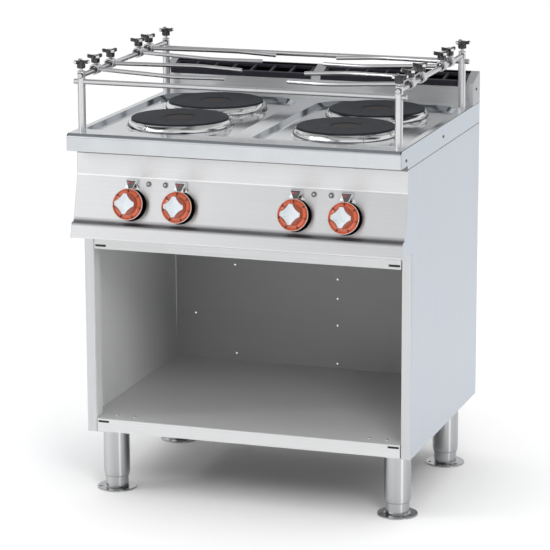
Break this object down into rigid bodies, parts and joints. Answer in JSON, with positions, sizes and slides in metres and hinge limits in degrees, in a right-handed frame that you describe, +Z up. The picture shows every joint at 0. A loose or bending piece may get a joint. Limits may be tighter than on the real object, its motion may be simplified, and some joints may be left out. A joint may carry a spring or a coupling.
{
  "type": "electric range",
  "caption": "Free-standing ship's electric range: round cast-iron hot plates in pressed wells, sea rails with sliding pan arms, sloped control panel and an open cabinet on bolt-down legs.",
  "frame": {"origin": "on the floor, at the middle of the range's outline", "axes": "+Z up, the front with the knobs faces -Y, +X to the right seen from the front"},
  "size_m": [0.8044, 0.712, 1.0567],
  "materials": {
    "stainless_steel": "fine brushed satin",
    "polished_steel": "polished",
    "plated_steel": "zinc plated",
    "plate_iron": "blackened, machined",
    "grille_iron": "dark enamel",
    "ceramic": "matt ceramic",
    "lamp_plastic": "clear lens in a grey ring",
    "black_plastic": "glossy black",
    "knob_orange": "glossy orange-red"
  },
  "bodies": {
    "range": {"worktop": "stainless_steel", "upstand": "stainless_steel", "flue_grille_left": "grille_iron", "flue_grille_right": "grille_iron", "side_panel_left": "stainless_steel", "side_panel_right": "stainless_steel", "back_panel": "stainless_steel", "cabinet_floor": "stainless_steel", "cabinet_top_rail": "stainless_steel", "wiring_tray": "stainless_steel", "control_panel": "stainless_steel", "cross_rail_front": "stainless_steel", "cross_rail_rear": "stainless_steel", "rail_posts": "stainless_steel", "post_nuts": "plated_steel", "hot_plate_front_left": "plate_iron", "hot_plate_front_right": "plate_iron", "hot_plate_rear_left": "plate_iron", "hot_plate_rear_right": "plate_iron", "heating_elements": "ceramic", "spill_rings": "polished_steel", "plate_clamps": "plated_steel", "leg_tubes": "stainless_steel", "index_bezels": "polished_steel", "pilot_lamps": "lamp_plastic", "rotary_switches": "black_plastic", "terminal_block": "ceramic", "cable_gland": "black_plastic", "hinge_bushes": "black_plastic", "panel_screws": "polished_steel"},
    "side_rail_left": {"side_rail_left": "stainless_steel"},
    "pan_arm_left_1": {"pan_arm_left_1": "stainless_steel"},
    "arm_knob_left_1": {"arm_knob_left_1": "black_plastic"},
    "pan_arm_left_2": {"pan_arm_left_2": "stainless_steel"},
    "arm_knob_left_2": {"arm_knob_left_2": "black_plastic"},
    "pan_arm_left_3": {"pan_arm_left_3": "stainless_steel"},
    "arm_knob_left_3": {"arm_knob_left_3": "black_plastic"},
    "pan_arm_left_4": {"pan_arm_left_4": "stainless_steel"},
    "arm_knob_left_4": {"arm_knob_left_4": "black_plastic"},
    "post_knob_front_left": {"post_knob_front_left": "black_plastic"},
    "levelling_foot_front_left": {"levelling_foot_front_left": "stainless_steel"},
    "post_knob_rear_left": {"post_knob_rear_left": "black_plastic"},
    "levelling_foot_rear_left": {"levelling_foot_rear_left": "stainless_steel"},
    "side_rail_right": {"side_rail_right": "stainless_steel"},
    "pan_arm_right_1": {"pan_arm_right_1": "stainless_steel"},
    "arm_knob_right_1": {"arm_knob_right_1": "black_plastic"},
    "pan_arm_right_2": {"pan_arm_right_2": "stainless_steel"},
    "arm_knob_right_2": {"arm_knob_right_2": "black_plastic"},
    "pan_arm_right_3": {"pan_arm_right_3": "stainless_steel"},
    "arm_knob_right_3": {"arm_knob_right_3": "black_plastic"},
    "pan_arm_right_4": {"pan_arm_right_4": "stainless_steel"},
    "arm_knob_right_4": {"arm_knob_right_4": "black_plastic"},
    "post_knob_front_right": {"post_knob_front_right": "black_plastic"},
    "levelling_foot_front_right": {"levelling_foot_front_right": "stainless_steel"},
    "post_knob_rear_right": {"post_knob_rear_right": "black_plastic"},
    "levelling_foot_rear_right": {"levelling_foot_rear_right": "stainless_steel"},
    "control_knob_1": {"control_knob_1": "knob_orange"},
    "control_knob_2": {"control_knob_2": "knob_orange"},
    "control_knob_3": {"control_knob_3": "knob_orange"},
    "control_knob_4": {"control_knob_4": "knob_orange"}
  },
  "joints": [
    {"name": "side_rail_left_turn", "type": "hinge", "parent": "range", "child": "side_rail_left", "pos_m": [-0.38, 0, 1.0195], "axis": [0, -1, 0], "range_deg": [-10, 95]},
    {"name": "pan_arm_left_1_slide", "type": "slide", "parent": "side_rail_left", "child": "pan_arm_left_1", "axis": [0, 1, 0], "range_m": [-0.043, 0.025]},
    {"name": "arm_knob_left_1_turn", "type": "hinge", "parent": "pan_arm_left_1", "child": "arm_knob_left_1", "pos_m": [-0.38, -0.212, 1.0195], "axis": [0, 0, 1], "range_deg": [0, 360]},
    {"name": "pan_arm_left_2_slide", "type": "slide", "parent": "side_rail_left", "child": "pan_arm_left_2", "axis": [0, 1, 0], "range_m": [-0.025, 0.055]},
    {"name": "arm_knob_left_2_turn", "type": "hinge", "parent": "pan_arm_left_2", "child": "arm_knob_left_2", "pos_m": [-0.38, -0.118, 1.0195], "axis": [0, 0, 1], "range_deg": [0, 360]},
    {"name": "pan_arm_left_3_slide", "type": "slide", "parent": "side_rail_left", "child": "pan_arm_left_3", "axis": [0, 1, 0], "range_m": [-0.05, 0.014]},
    {"name": "arm_knob_left_3_turn", "type": "hinge", "parent": "pan_arm_left_3", "child": "arm_knob_left_3", "pos_m": [-0.38, 0.066, 1.0195], "axis": [0, 0, 1], "range_deg": [0, 360]},
    {"name": "pan_arm_left_4_slide", "type": "slide", "parent": "side_rail_left", "child": "pan_arm_left_4", "axis": [0, 1, 0], "range_m": [-0.012, 0.022]},
    {"name": "arm_knob_left_4_turn", "type": "hinge", "parent": "pan_arm_left_4", "child": "arm_knob_left_4", "pos_m": [-0.38, 0.136, 1.0195], "axis": [0, 0, 1], "range_deg": [0, 360]},
    {"name": "post_knob_front_left_turn", "type": "hinge", "parent": "range", "child": "post_knob_front_left", "pos_m": [-0.38, -0.3, 1.0195], "axis": [0, 0, 1], "range_deg": [0, 360]},
    {"name": "levelling_foot_front_left_screw_out", "type": "slide", "parent": "range", "child": "levelling_foot_front_left", "axis": [0, 0, -1], "range_m": [0, 0.03]},
    {"name": "post_knob_rear_left_turn", "type": "hinge", "parent": "range", "child": "post_knob_rear_left", "pos_m": [-0.38, 0.256, 1.0195], "axis": [0, 0, 1], "range_deg": [0, 360]},
    {"name": "levelling_foot_rear_left_screw_out", "type": "slide", "parent": "range", "child": "levelling_foot_rear_left", "axis": [0, 0, -1], "range_m": [0, 0.03]},
    {"name": "side_rail_right_turn", "type": "hinge", "parent": "range", "child": "side_rail_right", "pos_m": [0.38, 0, 1.0195], "axis": [0, 1, 0], "range_deg": [-10, 95]},
    {"name": "pan_arm_right_1_slide", "type": "slide", "parent": "side_rail_right", "child": "pan_arm_right_1", "axis": [0, 1, 0], "range_m": [-0.043, 0.025]},
    {"name": "arm_knob_right_1_turn", "type": "hinge", "parent": "pan_arm_right_1", "child": "arm_knob_right_1", "pos_m": [0.38, -0.212, 1.0195], "axis": [0, 0, 1], "range_deg": [0, 360]},
    {"name": "pan_arm_right_2_slide", "type": "slide", "parent": "side_rail_right", "child": "pan_arm_right_2", "axis": [0, 1, 0], "range_m": [-0.025, 0.055]},
    {"name": "arm_knob_right_2_turn", "type": "hinge", "parent": "pan_arm_right_2", "child": "arm_knob_right_2", "pos_m": [0.38, -0.118, 1.0195], "axis": [0, 0, 1], "range_deg": [0, 360]},
    {"name": "pan_arm_right_3_slide", "type": "slide", "parent": "side_rail_right", "child": "pan_arm_right_3", "axis": [0, 1, 0], "range_m": [-0.05, 0.014]},
    {"name": "arm_knob_right_3_turn", "type": "hinge", "parent": "pan_arm_right_3", "child": "arm_knob_right_3", "pos_m": [0.38, 0.066, 1.0195], "axis": [0, 0, 1], "range_deg": [0, 360]},
    {"name": "pan_arm_right_4_slide", "type": "slide", "parent": "side_rail_right", "child": "pan_arm_right_4", "axis": [0, 1, 0], "range_m": [-0.012, 0.022]},
    {"name": "arm_knob_right_4_turn", "type": "hinge", "parent": "pan_arm_right_4", "child": "arm_knob_right_4", "pos_m": [0.38, 0.136, 1.0195], "axis": [0, 0, 1], "range_deg": [0, 360]},
    {"name": "post_knob_front_right_turn", "type": "hinge", "parent": "range", "child": "post_knob_front_right", "pos_m": [0.38, -0.3, 1.0195], "axis": [0, 0, 1], "range_deg": [0, 360]},
    {"name": "levelling_foot_front_right_screw_out", "type": "slide", "parent": "range", "child": "levelling_foot_front_right", "axis": [0, 0, -1], "range_m": [0, 0.03]},
    {"name": "post_knob_rear_right_turn", "type": "hinge", "parent": "range", "child": "post_knob_rear_right", "pos_m": [0.38, 0.256, 1.0195], "axis": [0, 0, 1], "range_deg": [0, 360]},
    {"name": "levelling_foot_rear_right_screw_out", "type": "slide", "parent": "range", "child": "levelling_foot_rear_right", "axis": [0, 0, -1], "range_m": [0, 0.03]},
    {"name": "control_knob_1_turn", "type": "hinge", "parent": "range", "child": "control_knob_1", "pos_m": [-0.26, -0.305, 0.723], "axis": [0, -0.9655, 0.2605], "continuous": true},
    {"name": "control_knob_2_turn", "type": "hinge", "parent": "range", "child": "control_knob_2", "pos_m": [-0.14, -0.305, 0.723], "axis": [0, -0.9655, 0.2605], "continuous": true},
    {"name": "control_knob_3_turn", "type": "hinge", "parent": "range", "child": "control_knob_3", "pos_m": [0.14, -0.305, 0.723], "axis": [0, -0.9655, 0.2605], "continuous": true},
    {"name": "control_knob_4_turn", "type": "hinge", "parent": "range", "child": "control_knob_4", "pos_m": [0.26, -0.305, 0.723], "axis": [0, -0.9655, 0.2605], "continuous": true}
  ]
}
